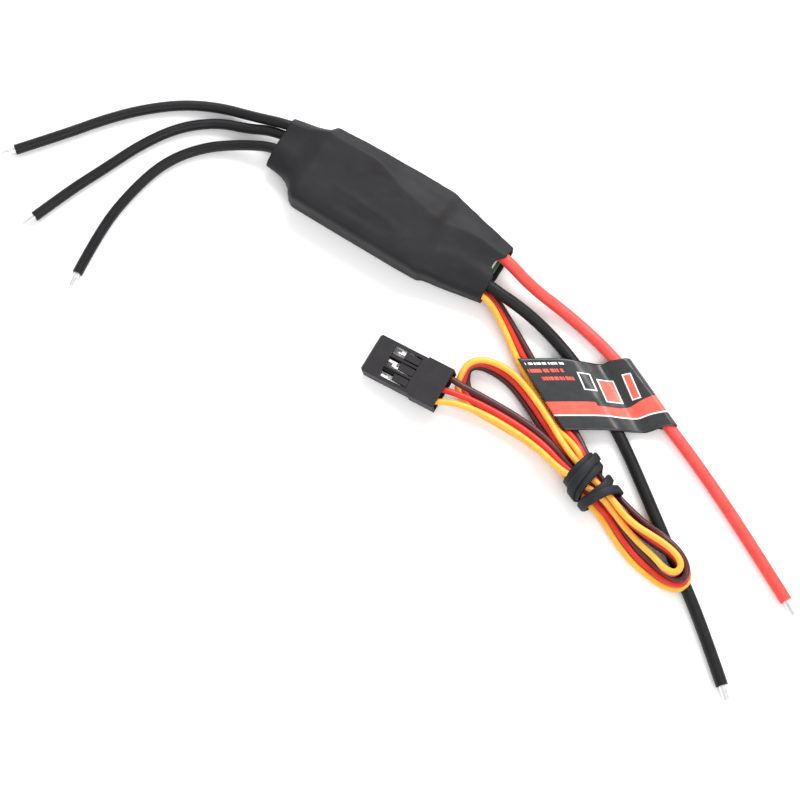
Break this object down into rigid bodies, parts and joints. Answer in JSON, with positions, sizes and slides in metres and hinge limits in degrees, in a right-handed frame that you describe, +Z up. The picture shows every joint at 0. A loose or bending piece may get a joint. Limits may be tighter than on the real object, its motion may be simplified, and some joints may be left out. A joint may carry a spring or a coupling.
{
  "type": "electronic speed controller",
  "caption": "Sleeved electronic speed controller with motor wires, battery wires, a folded and tied servo lead ending in a socket, and a film label.",
  "frame": {"origin": "centre of the sleeved body at the height of its flat underside", "axes": "+X along the body towards the battery wires, +Y across it away from the servo socket, +Z up out of the surface it lies on"},
  "size_m": [0.1561, 0.0504, 0.0067],
  "materials": {
    "sleeve": "matt dark grey-black heat-shrink film",
    "board": "green solder resist",
    "chip": "black moulding compound",
    "ceramic": "tan ceramic",
    "pad": "soft grey silicone pad",
    "plate": "rolled aluminium",
    "solder": "tin solder",
    "wire_black": "satin black silicone",
    "wire_red": "satin red silicone",
    "servo_orange": "satin yellow-orange PVC",
    "servo_red": "satin red PVC",
    "servo_brown": "satin brown PVC",
    "tie": "black plastic-covered wire",
    "label": "glossy black printed film",
    "housing": "satin black moulding",
    "contact": "tin-plated bronze"
  },
  "bodies": {
    "controller": {"heatshrink_sleeve": "sleeve", "circuit_board": "board", "high_side_mosfets": "chip", "low_side_mosfets": "chip", "thermal_pad": "pad", "heatsink_plate": "plate", "microcontroller": "chip", "bec_regulators": "chip", "gate_transistors": "chip", "ceramic_resonator": "ceramic", "input_capacitors": "ceramic", "chip_resistors": "chip", "chip_capacitors": "ceramic", "motor_solder_joints": "solder", "battery_solder_joints": "solder", "servo_solder_joints": "solder", "motor_wire_a": "wire_black", "motor_wire_b": "wire_black", "motor_wire_c": "wire_black", "motor_tip_a": "solder", "motor_tip_b": "solder", "motor_tip_c": "solder", "battery_wire_positive": "wire_red", "battery_wire_negative": "wire_black", "battery_tip_positive": "solder", "battery_tip_negative": "solder", "servo_lead_signal": "servo_orange", "servo_lead_power": "servo_red", "servo_lead_ground": "servo_brown", "servo_tail_signal": "servo_orange", "servo_tail_power": "servo_red", "servo_tail_ground": "servo_brown", "servo_lead_loops": "servo_orange", "twist_tie": "tie", "label_flag": "label", "connector_housing": "housing", "contact_signal": "contact", "contact_power": "contact", "contact_ground": "contact"},
    "latch_tongue_1": {"latch_tongue_1": "housing"},
    "latch_tongue_2": {"latch_tongue_2": "housing"},
    "latch_tongue_3": {"latch_tongue_3": "housing"}
  },
  "joints": [
    {"name": "latch_tongue_1_flex", "type": "hinge", "parent": "controller", "child": "latch_tongue_1", "pos_m": [0.01939, -0.02482, 0.00391], "axis": [-0.0279, 0.9996, 0], "range_deg": [0, 12], "stiffness_Nm_per_rad": 0.003},
    {"name": "latch_tongue_2_flex", "type": "hinge", "parent": "controller", "child": "latch_tongue_2", "pos_m": [0.01933, -0.02272, 0.00391], "axis": [-0.0279, 0.9996, 0], "range_deg": [0, 12], "stiffness_Nm_per_rad": 0.003},
    {"name": "latch_tongue_3_flex", "type": "hinge", "parent": "controller", "child": "latch_tongue_3", "pos_m": [0.01928, -0.02063, 0.00391], "axis": [-0.0279, 0.9996, 0], "range_deg": [0, 12], "stiffness_Nm_per_rad": 0.003}
  ]
}
